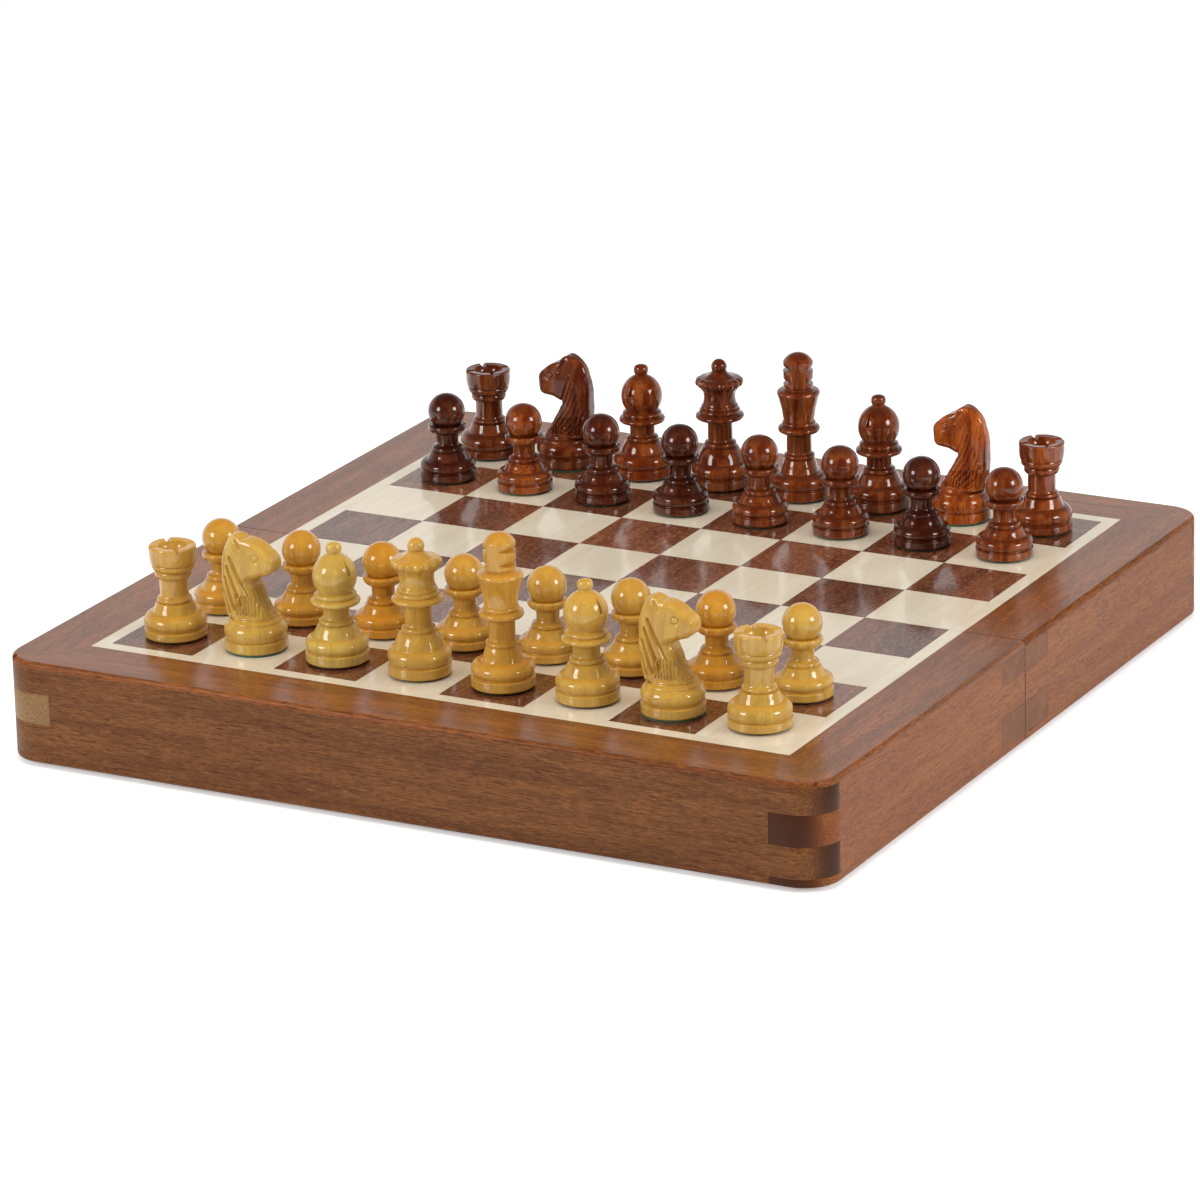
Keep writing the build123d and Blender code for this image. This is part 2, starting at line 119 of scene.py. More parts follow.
class BoxSettings(bpy.types.PropertyGroup):
    seam: a_length("Seam", "Width of the softened edge along every glued joint of the case", 0.12 * MM)
    veneer_seam: a_length(
        "Veneer seam", "Width of the softened edge round each square and inlay strip", 0.07 * MM)
    foam_round: a_length("Foam rounding", "Rounding of the felt covered foam inside the case", 1.2 * MM)
    sheesham_pale: a_colour("Sheesham, pale grain", "Lighter bands of the case wood", (0.262, 0.100, 0.030))
    sheesham_deep: a_colour("Sheesham, deep grain", "Darker bands of the case wood", (0.120, 0.037, 0.009))
    square_pale: a_colour(
        "Dark squares, pale grain", "Lighter grain of the dark veneer", (0.200, 0.068, 0.030))
    square_deep: a_colour(
        "Dark squares, deep grain", "Darker grain of the dark veneer", (0.085, 0.025, 0.011))
    maple_pale: a_colour("Maple, pale grain", "Lighter grain of the light veneer", (0.760, 0.665, 0.510))
    maple_deep: a_colour("Maple, deep grain", "Darker grain of the light veneer", (0.710, 0.610, 0.450))


class MenSettings(bpy.types.PropertyGroup):
    segments: IntProperty(
        name="Segments", description="Flats round each turned man", default=72, min=24, max=160)
    edge: a_length("Edge", "Rounding of every turned edge", 0.1 * MM)
    felt_thickness: a_length("Felt", "Thickness of the felt under each man", FELT * MM)
    felt_margin: a_length(
        "Felt margin", "How far the felt stays inside the foot of all but the knights", 1.3 * MM)
    carving: a_length("Carving", "Voxel size of the carved knights", 0.2 * MM)
    boxwood_pale: a_colour("Boxwood, pale", "Palest boxwood billet", (0.680, 0.470, 0.105))
    boxwood_warm: a_colour("Boxwood, warm", "Most orange boxwood billet", (0.640, 0.285, 0.024))
    rosewood_deep: a_colour("Rosewood, deep", "Darkest stained billet", (0.080, 0.019, 0.011))
    rosewood_warm: a_colour("Rosewood, warm", "Reddest stained billet", (0.520, 0.125, 0.018))


class StageSettings(bpy.types.PropertyGroup):
    floor_radius: a_length("Floor", "Radius of the floor", 4.0)
    shadow_radius: a_length(
        "Shadow reach", "Distance from the box within which the floor shows its shadow", 0.22)
    azimuth: an_angle("Azimuth", "Turn of the camera about the box, from the front to the right", 28.386)
    elevation: an_angle("Elevation", "Height of the camera above the horizon", 18.842)
    roll: an_angle("Roll", "Lean of the camera about its own axis", -1.537)
    distance: a_length("Distance", "From the camera to the playing surface", 1.880)
    lens: a_number("Lens", "Focal length on a 36 mm sensor, in millimetres", 200.16)
    look_at: FloatVectorProperty(
        name="Look at", description="Point of the playing surface in the middle of the view",
        default=(0.0032, -0.0165, 0.0307), subtype="TRANSLATION", size=3)
    key_level: a_number("Right softbox", "Light that the right softbox gives a surface facing it", 0.45)
    fill_level: a_number("Left softbox", "Light that the left softbox gives a surface facing it", 0.38)
    top_level: a_number("Top softbox", "Light that the overhead softbox gives a surface facing it", 0.46)


# ---------------- working on meshes
def leave_edit():
    bpy.ops.object.mode_set(mode="OBJECT")


def deselect():
    if bpy.context.object and bpy.context.object.mode != "OBJECT":
        leave_edit()
    bpy.ops.object.select_all(action="DESELECT")


def pick(*objects):
    """Selects these objects alone, the first one active."""
    deselect()
    for thing in objects:
        thing.select_set(True)
    bpy.context.view_layer.objects.active = objects[0]


def edit(piece):
    pick(piece)
    bpy.ops.object.mode_set(mode="EDIT")
    bpy.ops.mesh.select_mode(type="VERT")
    bpy.ops.mesh.select_all(action="SELECT")


def finish_mesh(piece, smooth_angle=30):
    """Outward faces, smooth round stretches and crisp edges."""
    edit(piece)
    bpy.ops.mesh.remove_doubles(threshold=WELD)
    bpy.ops.mesh.normals_make_consistent(inside=False)
    leave_edit()
    bpy.ops.object.shade_smooth_by_angle(angle=math.radians(smooth_angle), keep_sharp_edges=False)
    return piece


def modify(piece, kind, **settings):
    """Adds a modifier with these settings and applies it."""
    modifier = piece.modifiers.new(kind.lower(), kind)
    for key, value in settings.items():
        setattr(modifier, key, value)
    pick(piece)
    bpy.ops.object.modifier_apply(modifier=modifier.name)


def soften(piece, width, segments=2, angle=28):
    modify(piece, "BEVEL", width=width, segments=segments, limit_method="ANGLE",
           angle_limit=math.radians(angle), use_clamp_overlap=True)


def cut(piece, cutter):
    modify(piece, "BOOLEAN", operation="DIFFERENCE", solver="EXACT", object=cutter)
    bpy.data.objects.remove(cutter)


def settle(piece):
    """Puts the piece's place, turn and size into its mesh."""
    pick(piece)
    bpy.ops.object.transform_apply(location=True, rotation=True, scale=True)


def own_copy(piece, name):
    pick(piece)
    bpy.ops.object.duplicate()
    copy = bpy.context.object
    copy.name = name
    return copy


def paint(piece, material):
    piece.data.materials.clear()
    piece.data.materials.append(material)


def dress(piece, material, body):
    paint(piece, material)
    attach(piece, body)


def joined_copy(node_name, name):
    """The node's shape as one welded mesh with flat faces in one piece."""
    piece = own_copy(frame["nodes"][node_name], name)
    bpy.ops.object.parent_clear(type="CLEAR_KEEP_TRANSFORM")
    for key in list(piece.keys()):
        if key.startswith("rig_"):
            del piece[key]
    edit(piece)
    bpy.ops.mesh.customdata_custom_splitnormals_clear()
    bpy.ops.mesh.remove_doubles(threshold=WELD)
    bpy.ops.mesh.dissolve_limited(angle_limit=math.radians(0.5))
    leave_edit()
    return piece


def level_faces(piece, area=55 * MM * MM):
    """Keeps every face larger than this area shading flat right up to its eased edges."""
    mesh = piece.data
    crisp = mesh.attributes.get("sharp_edge") or mesh.attributes.new("sharp_edge", "BOOLEAN", "EDGE")
    for face in mesh.polygons:
        if face.area > area:
            for corner in face.loop_indices:
                crisp.data[mesh.loops[corner].edge_index].value = True


def softened(node_name, width, material, segments=2):
    """The node's shape with its edges eased, standing for the node."""
    piece = joined_copy(node_name, node_name + "_finished")
    soften(piece, width, segments)
    finish_mesh(piece, smooth_angle=40)
    level_faces(piece)
    dress(piece, material, frame["nodes"][node_name]["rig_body"])
    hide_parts(node_name)
    return piece


# ---------------- outlines
def arc_points(start, middle, end, turn=9):
    """Points after start along the arc through middle to end, one for every few degrees."""
    (ax, ay), (bx, by), (cx, cy) = start, middle, end
    d = 2 * (ax * (by - cy) + bx * (cy - ay) + cx * (ay - by))
    if abs(d) < 1e-9:
        return [end]
    a2, b2, c2 = ax * ax + ay * ay, bx * bx + by * by, cx * cx + cy * cy
    ox = (a2 * (by - cy) + b2 * (cy - ay) + c2 * (ay - by)) / d
    oy = (a2 * (cx - bx) + b2 * (ax - cx) + c2 * (bx - ax)) / d
    first, mid, last = (math.atan2(y - oy, x - ox) for x, y in (start, middle, end))
    sweep = (last - first) % math.tau
    if (mid - first) % math.tau > sweep:
        sweep -= math.tau
    count = max(2, math.ceil(abs(math.degrees(sweep)) / turn))
    radius = math.hypot(ax - ox, ay - oy)
    angles = [first + sweep * i / count for i in range(1, count + 1)]
    return [(ox + radius * math.cos(a), oy + radius * math.sin(a)) for a in angles]


def traced(steps):
    """All points of an outline. A step is a point, or (point on an arc, the arc's end)."""
    points = [steps[0]]
    for step in steps[1:]:
        if isinstance(step[0], tuple):
            points += arc_points(points[-1], step[0], step[1])
        else:
            points.append(step)
    return points


def turned(name, steps, segments):
    """Turned solid: a disc at the foot, extruded and scaled ring by ring up the outline, in millimetres."""
    points = traced(steps)
    radius, height = points[0]
    deselect()
    bpy.ops.mesh.primitive_circle_add(
        vertices=segments, radius=radius * MM, fill_type="NGON", location=(0, 0, height * MM))
    piece = bpy.context.object
    piece.name = name
    settle(piece)
    edit(piece)
    for next_radius, next_height in points[1:]:
        rise = (next_height - height) * MM
        bpy.ops.mesh.extrude_region_move(TRANSFORM_OT_translate={"value": (0, 0, rise)})
        if next_radius == 0:
            bpy.ops.mesh.merge(type="CENTER")
        else:
            scale = next_radius / radius
            bpy.ops.transform.resize(value=(scale, scale, 1), center_override=(0, 0, next_height * MM))
        radius, height = next_radius, next_height
    leave_edit()
    return finish_mesh(piece)


def wedge(width, depth, length, place, turn):
    """V shaped cutter: a bar lying along its own X, its edge pointing down."""
    keen = 0.02
    deselect()
    bpy.ops.mesh.primitive_cube_add(size=1, location=(0, 0, 0))
    cutter = bpy.context.object
    edit(cutter)
    bpy.ops.mesh.select_all(action="DESELECT")
    leave_edit()
    for vertex in cutter.data.vertices:
        vertex.select = vertex.co.z < 0
    bpy.ops.object.mode_set(mode="EDIT")
    bpy.ops.transform.resize(value=(1, keen, 1), center_override=(0, 0, 0))
    leave_edit()
    cutter.data.transform(Matrix.Diagonal((length * MM, width * MM, depth * MM, 1)))
    cutter.matrix_world = Matrix.Translation(Vector(place) * MM) @ turn
    settle(cutter)
    return cutter


# ---------------- nodes of the materials
def feed(node, inputs):
    """Gives each input its value, or links it to another node's output."""
    for socket, value in inputs.items():
        if isinstance(value, bpy.types.NodeSocket):
            node.id_data.links.new(value, node.inputs[socket])
        else:
            node.inputs[socket].default_value = value


def add(kind, inputs, **settings):
    """New node in the tree of the nodes that feed it, with its settings made."""
    tree = next(value.id_data for value in inputs.values() if isinstance(value, bpy.types.NodeSocket))
    node = tree.nodes.new(kind)
    for key, value in settings.items():
        setattr(node, key, value)
    feed(node, inputs)
    return node


def math_node(operation, a, b=0.0):
    return add("ShaderNodeMath", {0: a, 1: b}, operation=operation).outputs[0]


def vector_node(operation, *vectors):
    return add("ShaderNodeVectorMath", dict(enumerate(vectors)), operation=operation).outputs[0]


def times(a, b):
    return math_node("MULTIPLY", a, b)


def component(vector, axis):
    return add("ShaderNodeSeparateXYZ", {0: vector}).outputs[axis]


def toned(colour, *gains):
    return tuple(channel * gain for channel, gain in zip(colour, gains))


def mixed(share, a, b, blend="MIX"):
    """Colour between a and b."""
    a, b = (colour if isinstance(colour, bpy.types.NodeSocket) else (*colour, 1.0) for colour in (a, b))
    return add("ShaderNodeMix", {0: share, 6: a, 7: b}, data_type="RGBA", blend_type=blend).outputs[2]


def between(value, low, high, to_low=0.0, to_high=1.0):
    """Value brought smoothly from the range low..high to to_low..to_high."""
    return add("ShaderNodeMapRange", {0: value, 1: low, 2: high, 3: to_low, 4: to_high},
               interpolation_type="SMOOTHSTEP").outputs[0]


def streaks(coords, axis, length, width, detail=2.0, shift=0.0, distortion=0.0):
    """Noise drawn out along one axis: marks of this length and width, in millimetres."""
    scale = [1 / (width * MM)] * 3
    scale[axis] = 1 / (length * MM)
    place = add("ShaderNodeMapping", {"Vector": coords, "Scale": scale, "Location": (shift,) * 3})
    return add("ShaderNodeTexNoise", {
        "Vector": place.outputs[0], "Scale": 1.0, "Detail": detail, "Roughness": 0.55,
        "Distortion": distortion}).outputs[0]


def new_material(name):
    """Material, its surface shader and the place in the object."""
    material = bpy.data.materials.new(name)
    material.use_nodes = True
    nodes = material.node_tree.nodes
    return material, nodes["Principled BSDF"], nodes.new("ShaderNodeTexCoord").outputs["Object"]


def set_surface(surface, colour, roughness, height, strength, depth=0.05 * MM):
    """Gives the surface its colour, roughness and relief."""
    relief = add("ShaderNodeBump", {"Height": height, "Strength": strength, "Distance": depth})
    feed(surface, {"Base Color": colour, "Roughness": roughness, "Normal": relief.outputs[0]})


def set_lacquer(surface, weight, roughness, wood_shine=0.1):
    """Clear lacquer, with little shine of the wood itself under it."""
    feed(surface, {
        "Coat Weight": weight, "Coat Roughness": roughness, "Specular IOR Level": wood_shine})


def facing(place, axis):
    """How straight the surface faces along an axis, -1 to 1."""
    return component(place.node.outputs["Normal"], axis)


def end_grain(place, axis):
    """1 where the surface cuts across the grain, 0 along it."""
    return between(math_node("ABSOLUTE", facing(place, axis)), 0.45, 0.95)


# ---------------- materials
def sheesham(name, axis, pale, deep, shift, lacquer, warmth=0.0, sapwood=None, ends=0.5, top_gloss=False):
    """Open pored brown wood: broad figure, fine threads, short dark pores, and lacquer over it.

    shift is where in the figure the plank is cut, ends how dark its end grain is, and sapwood a
    function that says where it is pale. With top_gloss the lacquer shines on the top alone.
    """
    material, surface, place = new_material(name)
    figure = streaks(place, axis, 80, 5.0, 3.0, shift, 0.5)
    thread = streaks(place, axis, 9.0, 0.6, 3.0, shift + 3.0)
    pore = streaks(place, axis, 2.6, 0.24, 2.0, shift + 7.0)
    vessel = streaks(place, axis, 8.0, 0.3, 2.0, shift + 9.0)
    fleck = streaks(place, axis, 2.8, 0.48, 2.0, shift + 11.0)
    colour = mixed(between(figure, 0.34, 0.66, 0.35, 1.0), deep, pale)
    colour = mixed(between(thread, 0.44, 0.64, 0.0, 0.55), colour, deep)
    glow = toned(pale, 1.5, 1.5, 1.5)
    colour = mixed(between(fleck, 0.48, 0.68, 0.0, 0.36), colour, glow)
    pores = math_node("MAXIMUM", between(pore, 0.53, 0.63), between(vessel, 0.57, 0.66))
    colour = mixed(times(pores, 0.62), colour, toned(deep, 0.32, 0.32, 0.32))
    across = times(end_grain(place, axis), ends)
    colour = mixed(across, colour, toned(pale, 0.13, 0.075, 0.03))
    # Warmth lightens and warms the colour; on the right walls it is painted light from the right and painted
    # sheen.
    if warmth:
        colour = mixed(warmth, colour, (0.52, 0.3, 0.14), "SOFT_LIGHT")
    if sapwood:
        tan = mixed(between(thread, 0.35, 0.65), (0.400, 0.250, 0.115), (0.270, 0.160, 0.070))
        colour = mixed(sapwood(place), colour, tan)
    roughness = between(fleck, 0.3, 0.7, 0.34, 0.48)
    height = math_node("SUBTRACT", times(thread, 0.3), pores)
    set_surface(surface, colour, roughness, height, 0.1)
    gloss = 0.15
    if top_gloss:
        gloss = between(facing(place, Z), 0.9, 0.99, 0.1, 0.9)
    set_lacquer(surface, gloss, lacquer)
    return material


def veneer(name, pale, deep, tone_spread, pore_share, mottle=0.0):
    """Square tiles of veneer: each square has its own tone and its own stretch of grain, along Y."""
    material, surface, place = new_material(name)
    cells = add("ShaderNodeMapping", {"Vector": place, "Scale": (1 / SQUARE,) * 3})
    cell = vector_node("FLOOR", cells.outputs[0])
    flat = vector_node("MULTIPLY", cell, (1, 1, 0))
    chance = add("ShaderNodeTexWhiteNoise", {"Vector": flat}, noise_dimensions="3D")
    shifted = vector_node("MULTIPLY_ADD", chance.outputs["Color"], (0.7, 0.7, 0.7), place)
    figure = streaks(shifted, Y, 42, 5.5, 3.0, 0.0, 0.6)
    thread = streaks(shifted, Y, 7, 0.9, 3.0, 3.0)
    pore = streaks(shifted, Y, 1.8, 0.34, 2.0, 7.0)
    colour = mixed(between(figure, 0.35, 0.65), deep, pale)
    colour = mixed(between(thread, 0.45, 0.7, 0.0, 0.45), colour, deep)
    if mottle:
        speck = streaks(shifted, Y, 1.7, 0.9, 3.0, 13.0)
        colour = mixed(between(speck, 0.46, 0.66, 0.0, mottle), colour, toned(pale, 2.0, 2.3, 2.6))
    pores = between(pore, 0.55, 0.68)
    colour = mixed(times(pores, pore_share), colour, toned(deep, 0.55, 0.55, 0.55))
    tone = between(chance.outputs["Value"], 0.0, 1.0, 1.0 - tone_spread, 1.0 + tone_spread)
    grey = add("ShaderNodeCombineXYZ", {0: tone, 1: tone, 2: tone}).outputs[0]
    colour = mixed(1.0, colour, grey, "MULTIPLY")
    wave = streaks(place, Y, 30, 14, 1.0, 5.0)
    height = math_node("SUBTRACT", wave, times(pores, 0.1))
    set_surface(surface, colour, between(thread, 0.3, 0.7, 0.3, 0.42), height, 0.1, 0.04 * MM)
    set_lacquer(surface, 1.0, 0.11)
    return material


def billet(name, cool, warm, figure_depth, pore_share, end_share, end_tint):
    """Turned and lacquered wood of the men. The mesh attribute warmth says which billet a man is from."""
    material, surface, place = new_material(name)
    warmth = place.id_data.nodes.new("ShaderNodeAttribute")
    warmth.attribute_name = "warmth"
    base = mixed(warmth.outputs["Fac"], cool, warm)
    figure = streaks(place, Z, 26, 3.2, 3.0, 0.0, 0.6)
    thread = streaks(place, Z, 12, 0.55, 3.0, 3.0)
    pore = streaks(place, Z, 2.4, 0.24, 2.0, 7.0)
    deep = mixed(1.0, base, tuple(1 - figure_depth * share for share in (0.75, 1.0, 1.15)), "MULTIPLY")
    colour = mixed(between(figure, 0.36, 0.64), deep, base)
    colour = mixed(between(thread, 0.46, 0.72, 0.0, 0.5), colour, deep)
    pores = times(between(pore, 0.58, 0.7), pore_share)
    colour = mixed(pores, colour, mixed(1.0, deep, (0.45, 0.4, 0.35), "MULTIPLY"))
    across = times(end_grain(place, Z), end_share)
    colour = mixed(across, colour, mixed(1.0, base, end_tint, "MULTIPLY"))
    height = math_node("SUBTRACT", figure, pores)
    set_surface(surface, colour, between(thread, 0.3, 0.7, 0.26, 0.36), height, 0.3, 0.08 * MM)
    set_lacquer(surface, 1.0, 0.1, 0.05)
    return material


def felt(name, colour_a, colour_b):
    material, surface, place = new_material(name)
    fuzz = streaks(place, Z, 0.35, 0.3, 4.0)
    matt = streaks(place, X, 5.0, 4.0, 2.0, 4.0)
    colour = mixed(between(fuzz, 0.3, 0.7), colour_a, colour_b)
    colour = mixed(between(matt, 0.3, 0.8, 0.0, 0.35), colour, colour_b)
    set_surface(surface, colour, 0.95, fuzz, 0.8, 0.2 * MM)
    feed(surface, {"Sheen Weight": 0.35, "Sheen Roughness": 0.6})
    return material


def metal(name, colour, worn, roughness):
    material, surface, place = new_material(name)
    scratch = streaks(place, X, 6.0, 0.08, 2.0)
    cloud = streaks(place, X, 5.0, 3.0, 3.0, 4.0)
    tone = mixed(between(cloud, 0.35, 0.75), colour, worn)
    rough = between(scratch, 0.25, 0.8, roughness - 0.06, roughness + 0.12)
    set_surface(surface, tone, rough, scratch, 0.1, 0.02 * MM)
    feed(surface, {"Metallic": 1.0})
    return material


# ---------------- the case
class Undoable:
    """Shared by the operators."""
    bl_options = {"REGISTER", "UNDO"}


def pale_finger(place):
    """Sapwood in the left wall, which shows in its finger at the front corner and tapers off behind it."""
    half_height, edge, share = 5.2 * MM, 1.4 * MM, 0.65
    tapered, taper_length = 4.5 * MM, 100 * MM
    low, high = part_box("near_left_wall")
    middle = low.z + 0.555 * (high.z - low.z)
    off = math_node("ABSOLUTE", math_node("SUBTRACT", component(place, Z), middle))
    wander = times(streaks(place, Y, 60, 4, 2.0, 2.0), 2.0 * MM)
    taper = between(component(place, Y), -taper_length, 0.0, 0.0, tapered)
    off = math_node("ADD", math_node("ADD", off, wander), taper)
    inward = between(component(place, X), low.x + 1.5 * MM, low.x + 5.0 * MM)
    return times(between(off, half_height, half_height + edge, share, 0.0), inward)


class CHESSBOX_OT_walls(Undoable, bpy.types.Operator):
    """Finger jointed walls of both halves, each with its own plank of wood, with painted light on the right
    walls and painted shade on the front wall
    """
    bl_idname = "chessbox.walls"
    bl_label = "Walls"

    def execute(self, context):
        box = context.scene.chess_box
        # Each wall: the axis of its grain, where in the figure it is cut, tone, warmth, dark ends, sapwood.
        # The front wall's lower tone is painted shade; the warmth of the right walls, which makes them paler
        # and pinker, is painted light from the right with a painted sheen.
        planks = {
            "near_outer_wall": (X, 0.0, 0.9, 0.0, 0.85, None),
            "near_fold_wall": (X, 21.0, 1.0, 0.2, 0.2, None),
            "near_left_wall": (Y, 33.0, 1.0, 0.0, 0.1, pale_finger),
            "near_right_wall": (Y, 47.0, 1.0, 0.5, 0.9, None),
            "far_outer_wall": (X, 52.0, 1.0, 0.0, 0.3, None),
            "far_fold_wall": (X, 64.0, 1.0, 0.2, 0.15, None),
            "far_left_wall": (Y, 78.0, 1.0, 0.0, 0.4, None),
            "far_right_wall": (Y, 85.0, 1.0, 0.45, 0.4, None),
        }
        for node_name, (axis, shift, tone, warmth, ends, sapwood) in planks.items():
            # Warmth lifts the pale grain, and the deep grain more: on the right walls this is painted light
            # and painted sheen.
            pale = toned(box.sheesham_pale, *(tone + gain * warmth for gain in (0.2, 0.45, 0.55)))
            deep = toned(box.sheesham_deep, *[1 + 1.3 * warmth] * 3)
            wood = sheesham(f"sheesham_{node_name}", axis, pale, deep, shift, 0.35, warmth, sapwood, ends)
            softened(node_name, box.seam, wood)
        return {"FINISHED"}


class CHESSBOX_OT_borders(Undoable, bpy.types.Operator):
    """Mitred border round the playing area, under a hard gloss lacquer"""
    bl_idname = "chessbox.borders"
    bl_label = "Borders"

    def execute(self, context):
        box = context.scene.chess_box
        pale = toned(box.sheesham_pale, 1.15, 0.9, 0.7)
        for half, cut_at in zip(HALVES, (5.0, 29.0)):
            ends, sides = (
                sheesham(f"sheesham_{half}_{part}", axis, pale, box.sheesham_deep, shift, 0.21,
                         top_gloss=True)
                for part, axis, shift in (("ends", X, cut_at), ("sides", Y, cut_at + 9)))
            piece = softened(f"{half}_border_strips", box.seam, ends)
            piece.data.materials.append(sides)
            for face in piece.data.polygons:
                face.material_index = 1 if abs(face.center.x) > abs(face.center.y) else 0
        return {"FINISHED"}


class CHESSBOX_OT_squares(Undoable, bpy.types.Operator):
    """Maple and sheesham veneer squares, with the maple line round them"""
    bl_idname = "chessbox.squares"
    bl_label = "Squares and inlay"

    def execute(self, context):
        box = context.scene.chess_box
        maple = veneer("maple_squares", box.maple_pale, box.maple_deep, 0.04, 0.18)
        dark = veneer("sheesham_squares", box.square_pale, box.square_deep, 0.22, 0.7, 0.5)
        line = veneer("maple_line", box.maple_pale, box.maple_deep, 0.0, 0.15)
        for half in HALVES:
            softened(f"{half}_light_squares", box.veneer_seam, maple)
            softened(f"{half}_dark_squares", box.veneer_seam, dark)
            softened(f"{half}_inlay_lines", box.veneer_seam, line)
        return {"FINISHED"}


class CHESSBOX_OT_inside(Undoable, bpy.types.Operator):
    """Felt covered foam with its slots, the plywood deck and the steel sheet over it"""
    bl_idname = "chessbox.inside"
    bl_label = "Inside of the case"

    def execute(self, context):
        box = context.scene.chess_box
        lining = felt("green_lining", (0.012, 0.055, 0.026), (0.030, 0.115, 0.055))
        plywood = sheesham("deck_plywood", X, (0.48, 0.33, 0.18), (0.36, 0.23, 0.12), 3.0, 0.5)
        steel = metal("plated_steel", (0.52, 0.53, 0.54), (0.4, 0.4, 0.41), 0.34)
        for half in HALVES:
            tray = softened(f"{half}_storage_tray", box.foam_round, lining, 3)
            paint(frame["nodes"][f"{half}_deck"], plywood)
            paint(frame["nodes"][f"{half}_steel_sheet"], steel)
        return {"FINISHED"}


class CHESSBOX_OT_hardware(Undoable, bpy.types.Operator):
    """Brass hinges with their screws, and the closing magnets in the rims"""
    bl_idname = "chessbox.hardware"
    bl_label = "Hinges and magnets"

    def execute(self, context):
        brass = metal("hinge_brass", (0.78, 0.56, 0.25), (0.6, 0.4, 0.16), 0.26)
        nickel = metal("magnet_nickel", (0.62, 0.61, 0.58), (0.5, 0.49, 0.47), 0.22)
        for half in HALVES:
            for part in ("hinge_leaves", "hinge_screws"):
                paint(frame["nodes"][f"{half}_{part}"], brass)
            paint(frame["nodes"][f"{half}_closing_magnets"], nickel)
        return {"FINISHED"}


# ---------------- outlines of the turned men
def foot(radius, thickness, shoulder):
    """Foot disc, groove and bulge that every man stands on, up to the shoulder."""
    top = FELT + thickness
    return [
        (radius - 0.5, FELT), ((radius - 0.12, FELT + 0.15), (radius, FELT + 0.6)), (radius, top - 0.4),
        ((radius - 0.08, top - 0.12), (radius - 0.35, top)), (radius - 0.6, top + 0.12),
        (radius - 0.62, top + 0.3), (radius - 0.5, top + 0.5), ((radius - 0.06, top + 1.55), shoulder)]


def bead(radius, low, high):
    return ((radius, (low + high) / 2), (radius - (high - low) / 3, high))


def dome(start, top):
    """Arc from a point of the outline to the axis, which it meets squarely."""
    r, z = start
    radius = (r ** 2 + (top - z) ** 2) / (2 * (top - z))
    middle = top - radius
    half = math.atan2(r, z - middle) / 2
    return ((radius * math.sin(half), middle + radius * math.cos(half)), (0, top))


def ball_foot(ball, narrow):
    """Where a ball that ends at height 0 meets what carries it, as wide there as this share of the ball."""
    return (narrow * ball, -ball * (1 + math.sqrt(1 - narrow ** 2)))


def raised(level, steps):
    """Steps of an outline whose heights are counted from this level."""
    return [tuple((r, z + level) for r, z in step) if isinstance(step[0], tuple)
            else (step[0], step[1] + level) for step in steps]


def king_model(height, men):
    r, cup, finial = NECK, 6.2, NECK + 0.72
    base = foot(OFFICER_RADIUS, 2.9, (r + 2.9, 7.8)) + [
        (r + 2.3, 7.85), (r + 1.9, 8.1), ((r + 1.5, 9.7), (r + 0.8, 11.9)), (r + 0.55, 12.1),
        bead(r + 0.9, 12.2, 12.2 + RING), ((r + 0.12, 13.8), (r, 14.6))]
    middle = [
        (r, -3.0), (cup - 0.9, -2.1), ((cup, -1.2), (cup - 0.7, -0.2)), (r + 1.1, 0),
        bead(r + 1.3, 0, RING), (r + 0.8, RING), ((cup - 1.0, 5.6), (cup, 9.2)),
        ((cup, 10.3), (cup - 0.7, 10.8)), (cup - 1.1, 10.8)]
    top = [
        ((r + 0.9, -11.05), (r + 0.3, -10.9)), (r + 0.3, -10.5), (finial, -10.1), (finial, -2.7),
        dome((finial, -2.7), 0)]
    piece = turned("king_model", base + raised(height, raised(-22.0, middle) + top), men.segments)
    notch_size = 2.3, 3.2, 14
    for side in (-1, 1):
        lean = Matrix.Rotation(math.radians(90), 4, "Z") @ Matrix.Rotation(side * math.radians(90), 4, "X")
        for drop in (8.5, 4.5):
            cut(piece, wedge(*notch_size, (side * 3.5, 0, height - drop), lean))
    return piece


def flute(piece, low, high, inner, count, depth):
    """Presses upright hollows, evenly spaced, into the rim between these heights."""
    for vertex in piece.data.vertices:
        x, y, z = vertex.co / MM
        reach = math.hypot(x, y)
        if low < z < high and reach > inner:
            hollow = 0.5 + 0.5 * math.cos(count * math.atan2(y, x))
            vertex.co.xy *= 1 - depth * hollow ** 2 * min(1.0, reach - inner) / reach


def queen_model(height, men):
    r, crown, ball = NECK, 6.9, 2.35
    under = ball_foot(ball, 0.84)
    base = foot(OFFICER_RADIUS, 2.9, (r + 3.8, 7.9)) + [
        (r + 3.5, 7.95), (r + 3.3, 8.2), ((r + 2.8, 10.0), (r + 1.5, 12.4)), (r + 0.9, 12.6),
        bead(r + 1.1, 12.7, 12.7 + RING), ((r + 0.15, 14.3), (r, 15.1))]
    middle = [
        (r, -3.2), (crown - 0.2, -1.8), ((crown + 0.3, -1.1), (crown - 0.3, -0.4)), (crown - 1.0, 0),
        bead(crown - 0.8, 0, RING), (crown - 1.5, RING), bead(crown - 1.4, RING, 2 * RING),
        ((r + 1.0, 4.6), (r + 1.2, 6.4))]
    top = [
        (crown - 0.7, -8.1), ((crown + 0.25, -6.9), (crown - 0.6, -5.7)), (crown - 1.3, -5.5),
        ((crown - 3.2, -5.1), (ball - 0.1, under[1] - 0.1)), under, dome(under, 0)]
    piece = turned("queen_model", base + raised(height, raised(-16.2, middle) + top), men.segments)
    flute(piece, height - 8.4, height - 5.4, crown - 1.5, 16, 0.55)
    return piece


